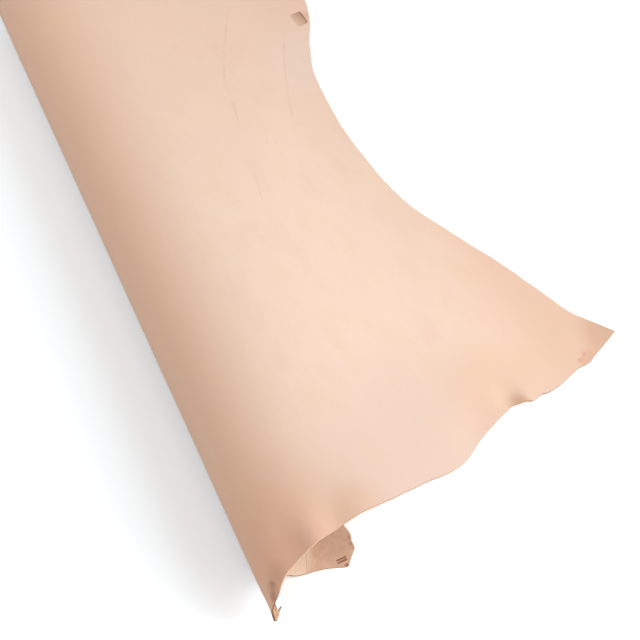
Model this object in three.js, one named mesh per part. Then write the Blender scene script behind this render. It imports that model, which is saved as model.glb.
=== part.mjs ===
// A leather shoulder: one piece of natural vegetable-tanned cowhide, lying grain side up.
//
// The spine side is turned under in one loose fold, wider at the neck end than at the bend end.
// Beyond the fold the sheet slopes down and comes to rest on the surface along its right flank,
// from the foreleg, whose tip curls up a little, to the belly corner at the bend end.
//
// The hide is described flat, as it was cut, and then laid over the fold:
//   across  is measured square to the fold, from the fold's leftmost line; the turned-under
//           side is negative
//   along   is measured beside the fold, from the neck end towards the bend end
// In space +X runs across, +Y along and +Z up. All sizes are in millimetres.

import * as THREE from 'three';

// Driving dimensions.
const THICKNESS = 2.2;
const BEND_CUT = 915; // along: the straight cut at the bend end
const SPREAD_FROM = 200; // across: beyond this line the mesh columns fan out to the flank
const SPINE_FROM = -110; // across: beyond this line they draw in to the spine cut
const LEATHER = { name: 'leather_shoulder', colour: '#f1d3bc', roughness: 0.62, metalness: 0 };

// The fold, from the strip that lies on the surface round to the line where the sheet lands
// again. Lengths are given at the neck end and at the bend end; turn is in degrees.
const FOLD = [
  { part: 'lift', neck: 40, bend: 30, turn: 20 },
  { part: 'back', neck: 56, bend: 42, turn: 70 },
  { part: 'side', neck: 58, bend: 44, turn: 56 },
  { part: 'crown', neck: 64, bend: 48, turn: 32 },
  { part: 'brow', neck: 100, bend: 80, turn: 27 },
];
const LANDING = { neck: 90, bend: 75 }; // length over which the sheet meets the surface
const EASE = 12; // each change of bend is spread over this distance on both sides
const FIRST_SLOPE = 60; // first guess of the straight slope, corrected until the sheet lands
const LANDING_PASSES = 3;
const FLAT_STRIP = 160; // strip of the sheet traced before the lift
const FLAT_APRON = 520; // strip traced past the landing, enough for the widest flank

// The front edge: from the spine corner under the fold, round the lobe with its torn tip,
// then along the neck to the foreleg tip.
const FRONT_EDGE = [
  { part: 'spine corner', across: -151, along: 64 },
  { part: 'spine corner', across: -147.5, along: 46.5 },
  { part: 'spine corner', across: -133, along: 28.5 },
  { part: 'under edge', across: -99, along: 38 },
  { part: 'under edge', across: -75, along: 40.5 },
  { part: 'under edge', across: -64, along: 45 },
  { part: 'lobe inside', across: -52, along: 42 },
  { part: 'lobe inside', across: -40, along: 31 },
  { part: 'lobe inside', across: -28.5, along: 3 },
  { part: 'torn tip', across: -14, along: -10.5 },
  { part: 'torn tip', across: -5, along: -12.5 },
  { part: 'lobe', across: 2, along: -4.5 },
  { part: 'lobe', across: 12, along: -3 },
  { part: 'lobe', across: 30, along: -0.5 },
  { part: 'lobe', across: 43, along: 6 },
  { part: 'lobe', across: 53, along: 11 },
  { part: 'lobe', across: 76, along: 18 },
  { part: 'lobe', across: 104, along: 24 },
  { part: 'neck', across: 135, along: 32 },
  { part: 'neck', across: 182, along: 39 },
  { part: 'neck', across: 224, along: 47 },
  { part: 'neck', across: 288, along: 59.5 },
  { part: 'hollow', across: 300, along: 63.5 },
  { part: 'hollow', across: 321, along: 74 },
  { part: 'hollow', across: 342, along: 89 },
  { part: 'hollow', across: 378, along: 110.5 },
  { part: 'hollow', across: 400, along: 121.5 },
  { part: 'dimple', across: 413, along: 127.5 },
  { part: 'dimple', across: 436, along: 125.5 },
  { part: 'foreleg', across: 457, along: 132 },
  { part: 'foreleg', across: 479, along: 134.5 },
  { part: 'foreleg', across: 502, along: 143 },
  { part: 'foreleg', across: 513, along: 147.5 },
  { part: 'foreleg', across: 530, along: 149 },
  { part: 'foreleg', across: 538, along: 154.5 },
  { part: 'foreleg tip', across: 572, along: 170 },
];

// The spine cut: from the spine corner, which stands out a little, to the bend end.
const SPINE_EDGE = [
  { part: 'spine corner', along: 64, across: -151 },
  { part: 'spine corner', along: 75, across: -148.5 },
  { part: 'spine', along: 80, across: -144 },
  { part: 'spine', along: 110, across: -142 },
  { part: 'spine', along: BEND_CUT, across: -140 },
];

// The right flank: from the foreleg tip through the armpit to the belly at the bend end.
const FLANK_EDGE = [
  { part: 'foreleg tip', along: 170, across: 572 },
  { part: 'foreleg', along: 186, across: 561 },
  { part: 'foreleg', along: 222, across: 535 },
  { part: 'foreleg', along: 300, across: 497 },
  { part: 'armpit', along: 382, across: 449 },
  { part: 'armpit', along: 442, across: 416 },
  { part: 'armpit', along: 514, across: 397 },
  { part: 'armpit', along: 586, across: 388 },
  { part: 'armpit', along: 656, across: 390 },
  { part: 'belly', along: 723, across: 408 },
  { part: 'belly', along: 755, across: 423 },
  { part: 'belly', along: 790, across: 431 },
  { part: 'belly', along: 850, across: 449 },
  { part: 'belly corner', along: BEND_CUT, across: 464 },
];

// Low waves of the sheet. Each is a soft hump, or a trough where its height is negative, that
// is long in the direction heading (degrees from across) and wide square to it.
const WAVES = [
  { part: 'lobe tuck', across: 10, along: -18, heading: 0, long: 60, wide: 26, height: -2.5 },
  { part: 'torn flare', across: -4, along: -16, heading: 0, long: 14, wide: 15, height: 3.2 },
  { part: 'lobe hollow', across: 70, along: 34, heading: 100, long: 28, wide: 20, height: -3 },
  { part: 'edge ridge', across: 99, along: 28, heading: 108, long: 24, wide: 14, height: 5 },
  { part: 'edge trough', across: 127, along: 34, heading: 108, long: 26, wide: 16, height: -4 },
  { part: 'edge swell', across: 158, along: 42, heading: 100, long: 30, wide: 18, height: 2 },
  { part: 'neck trough', across: 343, along: 92, heading: 60, long: 60, wide: 28, height: -3 },
  { part: 'dimple', across: 406, along: 130, heading: 100, long: 24, wide: 12, height: -4.4 },
  { part: 'buckle', across: 428, along: 119, heading: 98, long: 22, wide: 11, height: 6.6 },
  { part: 'armpit lift', across: 505, along: 320, heading: 120, long: 90, wide: 28, height: 4 },
  { part: 'flank dent', across: 398, along: 467, heading: 100, long: 32, wide: 16, height: -2 },
  { part: 'tip curl', across: 590, along: 172, heading: 90, long: 80, wide: 34, height: 13 },
  { part: 'long swell', across: 265, along: 560, heading: 80, long: 210, wide: 55, height: 3 },
];
const WAVE_RISE = 25; // waves fade out where the sheet is lower than this above the surface

// Mesh steps.
const BEND_STEP = 12; // across, over the fold
const SLOPE_STEP = 32; // across, over the rest
const BEND_RANGE = { from: -100, to: 135 };
const ROW_STEP = 42; // along
const TRACE_STEP = 1; // step at which the section of the fold is traced
const PROBE = 0.5; // distance at which the surface is sampled to find its normal

const { lerp, clamp, degToRad } = THREE.MathUtils;

/** Value of a table at a position, straight between its rows. */
function lookUp(rows, position, at, value) {
  const next = rows.findIndex((row) => row[at] >= position);
  const high = rows[clamp(next === -1 ? rows.length - 1 : next, 1, rows.length - 1)];
  const low = rows[rows.indexOf(high) - 1];
  return lerp(low[value], high[value], (position - low[at]) / (high[at] - low[at]));
}

/** Positions of a table's rows, with more between them so that no gap is over its step. */
function stations(rows, at, stepAt) {
  const positions = [rows[0][at]];
  for (let i = 1; i < rows.length; i += 1) {
    const from = rows[i - 1][at];
    const gap = rows[i][at] - from;
    const parts = Math.ceil(gap / stepAt((from + rows[i][at]) / 2));
    for (let k = 1; k <= parts; k += 1) {
      positions.push(from + (gap * k) / parts);
    }
  }
  return positions;
}

/** Trace the section of the fold at one end of the sheet, with a given straight slope. */
function traceSection(end, slope) {
  const turned = FOLD.reduce((sum, row) => sum + row.turn, 0);
  const bends = [
    { length: FLAT_STRIP, turn: 0 },
    ...FOLD.map((row) => ({ length: row[end], turn: row.turn })),
    { length: slope, turn: 0 },
    { length: LANDING[end], turn: 180 - turned },
    { length: FLAT_APRON, turn: 0 },
  ];
  const headings = [{ run: 0, heading: 180 }];
  for (const bend of bends) {
    const last = headings[headings.length - 1];
    headings.push({ run: last.run + bend.length, heading: last.heading - bend.turn });
  }
  const total = headings[headings.length - 1].run;
  const easedHeading = (run) => {
    let sum = 0;
    for (let offset = -EASE; offset <= EASE; offset += TRACE_STEP) {
      sum += lookUp(headings, clamp(run + offset, 0, total), 'run', 'heading');
    }
    return degToRad(sum / (2 * EASE / TRACE_STEP + 1));
  };
  const points = [{ x: 0, z: THICKNESS / 2 }];
  for (let run = TRACE_STEP; run <= total; run += TRACE_STEP) {
    const last = points[points.length - 1];
    const heading = easedHeading(run - TRACE_STEP / 2);
    const x = last.x + TRACE_STEP * Math.cos(heading);
    const z = last.z + TRACE_STEP * Math.sin(heading);
    points.push({ x, z });
  }
  return points;
}

/** The section at one end of the sheet, as a function from across to its x and z. */
function laySection(end) {
  const turned = FOLD.reduce((sum, row) => sum + row.turn, 0);
  let slope = FIRST_SLOPE;
  let points = traceSection(end, slope);
  for (let pass = 0; pass < LANDING_PASSES; pass += 1) {
    const left = points[points.length - 1].z - THICKNESS / 2;
    slope += left / Math.sin(degToRad(turned - 180));
    points = traceSection(end, slope);
  }
  const leftmost = points.reduce((best, point, i) => (point.x < points[best].x ? i : best), 0);
  const origin = points[leftmost].x;
  return (across) => {
    const place = clamp(leftmost + across / TRACE_STEP, 0, points.length - 1.001);
    const i = Math.floor(place);
    const x = lerp(points[i].x, points[i + 1].x, place - i) - origin;
    const z = lerp(points[i].z, points[i + 1].z, place - i);
    return { x, z: Math.max(z, THICKNESS / 2) };
  };
}

const neckSection = laySection('neck');
const bendSection = laySection('bend');

/** Middle surface of the sheet laid over the fold, without its waves. */
function laid(across, along) {
  const share = along / BEND_CUT;
  const neck = neckSection(across);
  const bend = bendSection(across);
  return new THREE.Vector3(lerp(neck.x, bend.x, share), along, lerp(neck.z, bend.z, share));
}

/** Unit normal of a surface, pointing out of the grain side. */
function grainNormal(surface, across, along) {
  const acrossTangent = surface(across + PROBE, along).sub(surface(across - PROBE, along));
  const alongTangent = surface(across, along + PROBE).sub(surface(across, along - PROBE));
  return acrossTangent.cross(alongTangent).normalize();
}

/** Height of all waves at one place of the flat sheet. */
function waveHeight(across, along) {
  let height = 0;
  for (const wave of WAVES) {
    const angle = degToRad(wave.heading);
    const dx = across - wave.across;
    const dy = along - wave.along;
    const lengthwise = (dx * Math.cos(angle) + dy * Math.sin(angle)) / wave.long;
    const sideways = (dy * Math.cos(angle) - dx * Math.sin(angle)) / wave.wide;
    height += wave.height * Math.exp(-lengthwise * lengthwise - sideways * sideways);
  }
  return height;
}

/** Middle surface of the sheet with its waves, which never dip below the surface it lies on. */
function middle(across, along) {
  const point = laid(across, along);
  const height = waveHeight(across, along);
  const lift = point.z - THICKNESS / 2;
  const fade = height < 0 ? clamp(lift / WAVE_RISE, 0, 1) : 1;
  return point.addScaledVector(grainNormal(laid, across, along), height * fade);
}

/** Flat places of the mesh grid: columns run from the front edge to the bend cut. */
function flatGrid() {
  const overFold = (across) => across > BEND_RANGE.from && across < BEND_RANGE.to;
  const columns = stations(FRONT_EDGE, 'across', (at) => (overFold(at) ? BEND_STEP : SLOPE_STEP));
  const rows = stations(FLANK_EDGE, 'along', () => ROW_STEP);
  const tip = FLANK_EDGE[0];
  const corner = FLANK_EDGE[FLANK_EDGE.length - 1];
  const spineCorner = SPINE_EDGE[0];
  const fan = (corner.across - SPREAD_FROM) / (tip.across - SPREAD_FROM);
  return columns.map((across) => {
    const spread = Math.max(across - SPREAD_FROM, 0);
    const share = spread / (tip.across - SPREAD_FROM);
    const front = lookUp(FRONT_EDGE, across, 'across', 'along');
    const back = Math.min(across, SPREAD_FROM) + spread * fan;
    const tuck = Math.max(SPINE_FROM - across, 0) / (SPINE_FROM - spineCorner.across);
    return rows.map((flankAlong) => {
      const way = (flankAlong - tip.along) / (corner.along - tip.along);
      const flank = lookUp(FLANK_EDGE, flankAlong, 'along', 'across');
      const bow = flank - lerp(tip.across, corner.across, way);
      const along = lerp(front, BEND_CUT, way);
      const spineAlong = Math.max(along, spineCorner.along);
      const spine = lookUp(SPINE_EDGE, spineAlong, 'along', 'across') - spineCorner.across;
      return { across: lerp(across, back, way) + share * bow + tuck * spine, along };
    });
  });
}

/** The closed solid of the sheet: grain side, flesh side and the cut edge between them. */
function sheetGeometry() {
  const grid = flatGrid();
  const columns = grid.length;
  const rows = grid[0].length;
  const positions = [];
  for (const side of [1, -1]) {
    for (const place of grid.flat()) {
      const { across, along } = place;
      const normal = grainNormal(middle, across, along);
      const point = middle(across, along).addScaledVector(normal, (side * THICKNESS) / 2);
      positions.push(point.x, point.y, Math.max(point.z, 0));
    }
  }
  const grain = (column, row) => column * rows + row;
  const flesh = (column, row) => columns * rows + grain(column, row);
  const faces = [];
  const addQuad = (a, b, c, d) => faces.push(a, b, c, a, c, d);
  for (let i = 0; i < columns - 1; i += 1) {
    for (let j = 0; j < rows - 1; j += 1) {
      addQuad(grain(i, j), grain(i + 1, j), grain(i + 1, j + 1), grain(i, j + 1));
      addQuad(flesh(i, j), flesh(i, j + 1), flesh(i + 1, j + 1), flesh(i + 1, j));
    }
    addQuad(grain(i, 0), flesh(i, 0), flesh(i + 1, 0), grain(i + 1, 0));
    addQuad(grain(i, rows - 1), grain(i + 1, rows - 1), flesh(i + 1, rows - 1), flesh(i, rows - 1));
  }
  for (let j = 0; j < rows - 1; j += 1) {
    addQuad(grain(0, j), grain(0, j + 1), flesh(0, j + 1), flesh(0, j));
    const last = columns - 1;
    addQuad(grain(last, j), flesh(last, j), flesh(last, j + 1), grain(last, j + 1));
  }
  const geometry = new THREE.BufferGeometry();
  geometry.setAttribute('position', new THREE.Float32BufferAttribute(positions, 3));
  geometry.setIndex(faces);
  geometry.computeBoundingBox();
  const centre = geometry.boundingBox.getCenter(new THREE.Vector3());
  geometry.translate(-centre.x, -centre.y, -geometry.boundingBox.min.z);
  geometry.computeVertexNormals();
  return geometry;
}

function leatherShoulder() {
  const material = new THREE.MeshStandardMaterial({
    color: LEATHER.colour,
    roughness: LEATHER.roughness,
    metalness: LEATHER.metalness,
  });
  const sheet = new THREE.Mesh(sheetGeometry(), material);
  sheet.name = LEATHER.name;
  return sheet;
}

const group = new THREE.Group();
group.add(leatherShoulder());

export default group;
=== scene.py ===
"""A leather shoulder: one piece of natural vegetable-tanned cowhide, lying grain side up.

The hide is cut out flat, pressed where the drying clamps held it, and then laid over one loose
fold that turns its spine side under. Places on the flat hide are given as
  across  square to the fold, from the fold's leftmost line, with the turned-under side negative
  along   beside the fold, from the neck end towards the bend end
In space +X runs across, +Y along and +Z up. All sizes are in metres, apart from the places and
sizes of tones and patterns, which are in millimetres on the flat hide.
"""

from __future__ import annotations

import logging
import math
from dataclasses import dataclass, field
from enum import Enum, IntEnum
from typing import Any, Callable, Iterable, Sequence

import bmesh
import bpy
import numpy as np
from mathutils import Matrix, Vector, kdtree, noise

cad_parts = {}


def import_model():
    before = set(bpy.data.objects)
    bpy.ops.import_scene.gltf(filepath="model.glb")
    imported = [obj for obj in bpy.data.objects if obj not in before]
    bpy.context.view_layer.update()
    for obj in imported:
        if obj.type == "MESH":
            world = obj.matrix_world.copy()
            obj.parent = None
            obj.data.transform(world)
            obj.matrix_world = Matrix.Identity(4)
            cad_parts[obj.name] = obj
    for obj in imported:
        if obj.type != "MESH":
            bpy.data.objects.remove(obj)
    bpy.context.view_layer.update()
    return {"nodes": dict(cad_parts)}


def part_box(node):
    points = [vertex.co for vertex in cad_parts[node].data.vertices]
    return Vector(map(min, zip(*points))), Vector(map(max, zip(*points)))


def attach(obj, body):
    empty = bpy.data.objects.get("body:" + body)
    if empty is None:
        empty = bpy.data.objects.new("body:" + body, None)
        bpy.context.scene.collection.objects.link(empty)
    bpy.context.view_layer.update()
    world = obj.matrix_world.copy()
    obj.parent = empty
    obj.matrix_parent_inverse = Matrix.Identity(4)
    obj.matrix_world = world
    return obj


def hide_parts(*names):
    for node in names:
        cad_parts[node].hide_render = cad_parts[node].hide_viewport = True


LOG = logging.getLogger("leather_shoulder")

NODE = "leather_shoulder"
MM = 0.001
LEATHER_IOR = 1.45
FLAT_MAP = "flat"  # the UV map that holds the places on the flat hide
BURNISH_AND_WALL_SHADE = "burnish"  # the vertex attribute that says how brown a clamp pressed the hide, with painted shade on the walls of its dents
THICKNESS_GROUP = "full_thickness"

THICKNESS = 0.0022
BEND_CUT = 0.915  # along: the straight cut at the bend end


class End(Enum):
    """The two ends of the hide, along the fold."""

    NECK = "neck"
    BEND = "bend"


class Side(IntEnum):
    """The three surfaces of the hide, in the order of its material slots."""

    GRAIN = 0
    FLESH = 1
    CUT = 2


class Axis(IntEnum):
    """The two directions of the flat hide."""

    ACROSS = 0
    ALONG = 1


@dataclass(frozen=True)
class Bend:
    """One stretch of the fold's section: its length at the two ends and how far it turns."""

    part: str
    neck: float
    bend: float
    turn: float

    def length(self, end: End) -> float:
        """Length of this stretch at one end of the hide."""
        return self.neck if end is End.NECK else self.bend


@dataclass(frozen=True)
class EdgePoint:
    """A place on the cut outline of the flat hide. A sharp one is a corner of the cut."""

    part: str
    across: float
    along: float
    sharp: bool = False


def edge(part: str, *places: tuple[float, float] | tuple[float, float, bool]
         ) -> tuple[EdgePoint, ...]:
    """Places on the cut outline that belong to one part of the hide.

    Args:
        part: the part's name.
        places: the across, the along and, for a corner of the cut, True for each place.

    Returns:
        The places.
    """
    return tuple(EdgePoint(part, *place) for place in places)


def seen_from(across: float, along: float, heading: float, flat: np.ndarray) -> np.ndarray:
    """Places on the flat hide as they lie from one of them.

    Args:
        across: the across of the place from which they are seen.
        along: its along.
        heading: the direction that counts as forwards, in degrees from across.
        flat: the across and the along of each place, as two rows.

    Returns:
        How far forwards and how far to the left each place lies, as two rows.
    """
    angle = math.radians(heading)
    right, up = flat[Axis.ACROSS] - across, flat[Axis.ALONG] - along
    return np.array((right * math.cos(angle) + up * math.sin(angle),
                     up * math.cos(angle) - right * math.sin(angle)))


@dataclass(frozen=True)
class Wave:
    """A soft hump of the sheet, or a trough where its height is negative.

    It is long in the direction of its heading, in degrees from across, and wide square to it.
    """

    part: str
    across: float
    along: float
    heading: float
    long: float
    wide: float
    height: float

    def heights(self, flat: np.ndarray) -> np.ndarray:
        """Height of this wave on the flat hide.

        Args:
            flat: the across and the along of each place, as two rows.

        Returns:
            The height at each place.
        """
        forwards, sideways = seen_from(self.across, self.along, self.heading, flat)
        return self.height * np.exp(-((forwards / self.long) ** 2) - (sideways / self.wide) ** 2)


@dataclass(frozen=True)
class ClampMark:
    """The dent that a drying clamp pressed into the edge of the damp hide.

    Its long side runs along its heading, in degrees from across. It gets deeper towards its
    lean, in degrees from its long side, and wedge is the share of the depth that is missing at
    the far end. square is 2 for an oval print and more for a squarer one, wall is the width of
    its sloping wall, teeth counts its grooves, burnish says how brown its floor is, and rim how
    brown its wall is, partly the wall's own polish and partly painted shade of the step, darkest
    at the deep end. cuts is the number of extra cuts of each mesh edge within its margin. ribs
    is how far the ribs between its grooves stand back up.
    """

    part: str
    side: Side
    across: float
    along: float
    heading: float
    long: float
    wide: float
    depth: float
    lean: float
    wedge: float
    square: float
    wall: float
    teeth: int
    burnish: float
    rim: float
    cuts: int
    margin: float = 0.003
    ribs: float = 0.6

    def press(self, flat: np.ndarray) -> tuple[np.ndarray, np.ndarray]:
        """How far the hide is pressed and how brown it is there, partly as painted shade on its
        walls.

        Args:
            flat: the across and the along of each place, as two rows.

        Returns:
            The pressed share of the depth and the brown of each place, both from 0 to 1.
        """
        forwards, sideways = seen_from(self.across, self.along, self.heading, flat)
        lengthwise, sideways = 2 * forwards / self.long, 2 * sideways / self.wide
        reach = np.abs(lengthwise) ** self.square + np.abs(sideways) ** self.square
        inset = (1 - reach ** (1 / self.square)) * min(self.long, self.wide) / 2
        share = np.clip(inset / self.wall + 0.5, 0, 1)
        inside = share * share * (3 - 2 * share)
        lean = math.radians(self.lean)
        way = (lengthwise * math.cos(lean) + sideways * math.sin(lean)) / 2
        sloped = 1 - self.wedge * np.clip(0.5 - way, 0, 1)
        pressed = inside * sloped
        if self.teeth:
            grooves = 0.5 - 0.5 * np.cos(math.pi * self.teeth * (sideways + 1))
            pressed = pressed * (1 - self.ribs * (1 - grooves))
        # burnish browns the floor; rim browns the wall, partly its own polish and partly painted
        # shade of the step
        brown = self.burnish * pressed + self.rim * 4 * inside * (1 - inside) * sloped
        return pressed, brown

    def near(self, across: float, along: float) -> bool:
        """Whether a place lies within the mark or just beside it."""
        reach = max(self.long, self.wide) / 2 + self.margin
        return abs(across - self.across) < reach and abs(along - self.along) < reach


@dataclass(frozen=True)
class Stretch:
    """Mesh columns or rows up to a place, at one step."""

    to: float
    step: float


FOLD = (
    Bend("lift", 0.040, 0.030, 20),
    Bend("back", 0.056, 0.042, 70),
    Bend("side", 0.058, 0.044, 56),
    Bend("crown", 0.064, 0.048, 32),
    Bend("brow", 0.100, 0.080, 27),
)
LANDING = Bend("landing", 0.090, 0.075, 180 - sum(bend.turn for bend in FOLD))

FRONT_EDGE = (
    *edge("spine corner", (-0.151, 0.064, True), (-0.1505, 0.060), (-0.149, 0.0555),
          (-0.1475, 0.0465, True), (-0.1445, 0.0425), (-0.1375, 0.0345), (-0.133, 0.0285, True)),
    *edge("under edge", (-0.099, 0.038), (-0.075, 0.0405), (-0.064, 0.045)),
    *edge("lobe inside", (-0.052, 0.042), (-0.040, 0.031)),
    *edge("tear", (-0.0305, 0.013, True)),
    *edge("barb root", (-0.0285, 0.003, True), (-0.0255, -0.003, True)),
    *edge("torn tip", (-0.014, -0.0105), (-0.005, -0.0125, True)),
    *edge("lobe", (0.002, -0.0045, True), (0.012, -0.003), (0.030, -0.0005), (0.043, 0.006),
          (0.053, 0.011), (0.076, 0.018), (0.104, 0.024)),
    *edge("neck", (0.120, 0.0285), (0.135, 0.032), (0.150, 0.0345), (0.182, 0.039), (0.224, 0.047),
          (0.252, 0.053), (0.288, 0.0595)),
    *edge("hollow", (0.300, 0.0635), (0.321, 0.074), (0.342, 0.089), (0.378, 0.1105),
          (0.400, 0.1215)),
    *edge("dimple", (0.413, 0.1275), (0.424, 0.126), (0.436, 0.1255)),
    *edge("foreleg", (0.457, 0.132, True), (0.465, 0.131), (0.479, 0.1345), (0.502, 0.143),
          (0.513, 0.1475, True), (0.521, 0.147), (0.530, 0.149), (0.538, 0.1545, True)),
    *edge("foreleg tip", (0.572, 0.170, True)),
)

SPINE_EDGE = (
    *edge("spine corner", (-0.151, 0.064, True), (-0.1485, 0.073)),
    *edge("spine", (-0.144, 0.088), (-0.142, 0.110), (-0.140, BEND_CUT)),
)

FLANK_EDGE = (
    *edge("foreleg tip", (0.572, 0.170, True)),
    *edge("foreleg", (0.561, 0.186), (0.535, 0.222, True), (0.497, 0.300)),
    *edge("armpit", (0.449, 0.382), (0.416, 0.442), (0.397, 0.514), (0.388, 0.586), (0.390, 0.656)),
    *edge("belly", (0.408, 0.723), (0.423, 0.755), (0.431, 0.790), (0.449, 0.850)),
    *edge("belly corner", (0.464, BEND_CUT, True)),
)


@dataclass(frozen=True)
class BarbStep:
    """One step along the barb at the torn tip: its middle and half its width."""

    across: float
    along: float
    half_width: float


BARB_STEPS = (
    BarbStep(-0.0315, 0.0037, 0.0012),
    BarbStep(-0.0355, 0.0066, 0.0008),
    BarbStep(-0.0386, 0.0086, 0.0005),
    BarbStep(-0.0407, 0.0104, 0.0001),
)

WAVES = (
    Wave("lobe tuck", 0.010, -0.018, 0, 0.060, 0.026, -0.0025),
    Wave("torn flare", -0.004, -0.016, 0, 0.014, 0.015, 0.0032),
    Wave("lobe hollow", 0.070, 0.034, 100, 0.028, 0.020, -0.0030),
    Wave("edge ridge", 0.099, 0.028, 108, 0.024, 0.014, 0.0050),
    Wave("edge trough", 0.127, 0.034, 108, 0.026, 0.016, -0.0040),
    Wave("edge swell", 0.158, 0.042, 100, 0.030, 0.018, 0.0020),
    Wave("neck trough", 0.343, 0.092, 60, 0.060, 0.028, -0.0030),
    Wave("dimple", 0.406, 0.130, 100, 0.024, 0.012, -0.0044),
    Wave("buckle", 0.428, 0.119, 98, 0.022, 0.011, 0.0066),
    Wave("armpit lift", 0.505, 0.320, 120, 0.090, 0.028, 0.0040),
    Wave("flank dent", 0.398, 0.467, 100, 0.032, 0.016, -0.0020),
    Wave("tip curl", 0.590, 0.172, 90, 0.080, 0.034, 0.0130),
    Wave("long swell", 0.265, 0.560, 80, 0.210, 0.055, 0.0030),
)

CLAMP_MARKS = (
    ClampMark("belly", Side.GRAIN, across=0.4096, along=0.7614, heading=8, long=0.0155,
              wide=0.0222, depth=0.0010, lean=20, wedge=0.50, square=9, wall=0.0010, teeth=0,
              burnish=0.60, rim=0.85, cuts=6),
    ClampMark("foreleg", Side.GRAIN, across=0.5260, along=0.1565, heading=22, long=0.0210,
              wide=0.0110, depth=0.0005, lean=60, wedge=0.6, square=5, wall=0.0030, teeth=0,
              burnish=0.02, rim=0.10, cuts=4),
    ClampMark("lobe", Side.GRAIN, across=0.0275, along=0.0075, heading=52, long=0.0200,
              wide=0.0175, depth=0.0003, lean=0, wedge=0.3, square=2, wall=0.0050, teeth=1,
              burnish=0.55, rim=0.20, cuts=3),
    ClampMark("spine corner", Side.FLESH, across=-0.1284, along=0.0388, heading=178,
              long=0.0122, wide=0.0066, depth=0.0009, lean=0, wedge=0.2, square=6, wall=0.0008,
              teeth=2, burnish=0.85, rim=0.10, cuts=5),
)

COLUMNS = (
    Stretch(-0.147, 0.0009),
    Stretch(-0.1335, 0.0022),
    Stretch(-0.064, 0.0040),
    Stretch(-0.0285, 0.0030),
    Stretch(-0.0255, 0.0015),
    Stretch(0.016, 0.0020),
    Stretch(0.140, 0.0040),
    Stretch(0.572, 0.0050),
)
ROWS = (Stretch(0.040, 0.0025), Stretch(0.890, 0.0050))


def smooth_edge(places: np.ndarray | float,
                rows: Iterable[tuple[float, float, bool]]) -> np.ndarray:
    """Values of a smooth curve through a table's rows, with corners at the sharp ones.

    Args:
        places: where the curve is wanted.
        rows: the place, the value and the sharpness of each row, with rising places.

    Returns:
        The curve's value at each place.
    """
    keys, values, sharp = (np.array(column) for column in zip(*rows))
    slopes = np.diff(values) / np.diff(keys)
    before = np.concatenate(([slopes[0]], slopes))
    after = np.concatenate((slopes, [slopes[-1]]))
    same_way = (before * after) > 0
    smooth = np.where(same_way, 2 * before * after / np.where(same_way, before + after, 1), 0)
    leave = np.where(sharp, after, smooth)
    arrive = np.where(sharp, before, smooth)
    i = np.clip(np.searchsorted(keys, places, side="right") - 1, 0, len(keys) - 2)
    span = keys[i + 1] - keys[i]
    t = (places - keys[i]) / span
    return (
        values[i] * (1 + 2 * t) * (1 - t) ** 2
        + span * leave[i] * t * (1 - t) ** 2
        + values[i + 1] * t**2 * (3 - 2 * t)
        + span * arrive[i + 1] * t**2 * (t - 1)
    )


def stations(start: float, stretches: Iterable[Stretch]) -> np.ndarray:
    """Places from a start through stretches of equal steps, each ending on its own limit.

    Args:
        start: the first place.
        stretches: the stretches, with rising limits.

    Returns:
        The places, rising.
    """
    places = [start]
    for stretch in stretches:
        count = max(1, round((stretch.to - places[-1]) / stretch.step))
        places.extend(np.linspace(places[-1], stretch.to, count + 1)[1:])
    return np.array(places)


@dataclass
class FoldSection:
    """The section of the fold at one end of the hide: an x and a z for each place across it.

    The strip before the first bend and the apron past the landing lie flat. Each change of bend
    is eased over the same distance on both sides.
    """

    end: End
    strip: float = 0.160
    apron: float = 0.520
    ease: float = 0.012
    step: float = 0.001
    first_slope: float = 0.060  # first guess of the straight slope between brow and landing
    passes: int = 3
    places: np.ndarray = field(init=False)
    x: np.ndarray = field(init=False)
    z: np.ndarray = field(init=False)

    def __post_init__(self) -> None:
        """Trace the section and lengthen its slope until the sheet lands on the surface."""
        slope = self.first_slope
        x, z = self._trace(slope)
        for _ in range(self.passes):
            slope += (z[-1] - THICKNESS / 2) / math.sin(math.radians(-LANDING.turn))
            x, z = self._trace(slope)
        leftmost = int(np.argmin(x))
        self.places = (np.arange(len(x)) - leftmost) * self.step
        self.x = x - x[leftmost]
        self.z = np.maximum(z, THICKNESS / 2)

    def _trace(self, slope: float) -> tuple[np.ndarray, np.ndarray]:
        """Walk along the section, turning as the table of bends says.

        Args:
            slope: length of the straight slope between the brow and the landing.

        Returns:
            The x and the z of each step.
        """
        bends = [bend.length(self.end) for bend in FOLD]
        lengths = [self.strip, *bends, slope, LANDING.length(self.end), self.apron]
        turns = [0, *(bend.turn for bend in FOLD), 0, LANDING.turn, 0]
        runs = np.concatenate(([0], np.cumsum(lengths)))
        headings = 180 - np.concatenate(([0], np.cumsum(turns)))
        middles = np.arange(self.step / 2, runs[-1], self.step)
        offsets = np.arange(-self.ease, self.ease + self.step / 2, self.step)
        eased = np.mean([np.interp(middles + gap, runs, headings) for gap in offsets], axis=0)
        angles = np.radians(eased)
        x = np.concatenate(([0], np.cumsum(self.step * np.cos(angles))))
        z = np.concatenate(([0], np.cumsum(self.step * np.sin(angles))))
        return x, z + THICKNESS / 2


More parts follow.
